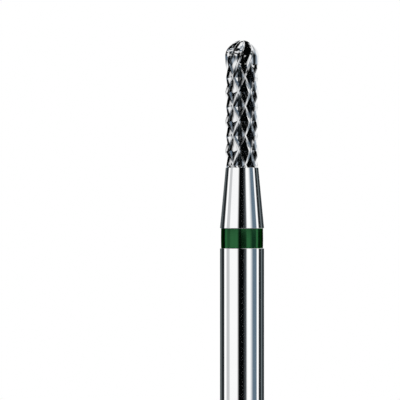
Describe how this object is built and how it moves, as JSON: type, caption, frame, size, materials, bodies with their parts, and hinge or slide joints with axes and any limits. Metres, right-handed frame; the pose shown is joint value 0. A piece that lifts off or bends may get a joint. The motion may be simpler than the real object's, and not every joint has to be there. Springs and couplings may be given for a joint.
{
  "type": "dental bur",
  "caption": "Cross-cut cylindrical cutter with a round nose, on a tapered neck and a straight handpiece shank with a coloured band, for trimming dental work.",
  "frame": {"origin": "centre of the flat end of the shank", "axes": "+Z runs along the axis from the shank end to the tip of the head; +X and +Y are square to it, and the side that the picture shows faces -Y"},
  "size_m": [0.0024, 0.0024, 0.0445],
  "materials": {
    "shank_steel": "bright stainless steel, finely ground and polished round",
    "band_enamel": "glossy green enamel",
    "head_carbide": "bright ground tungsten carbide"
  },
  "bodies": {
    "root": {"shank": "shank_steel", "colour_band": "band_enamel", "cutting_head": "head_carbide"}
  },
  "joints": []
}
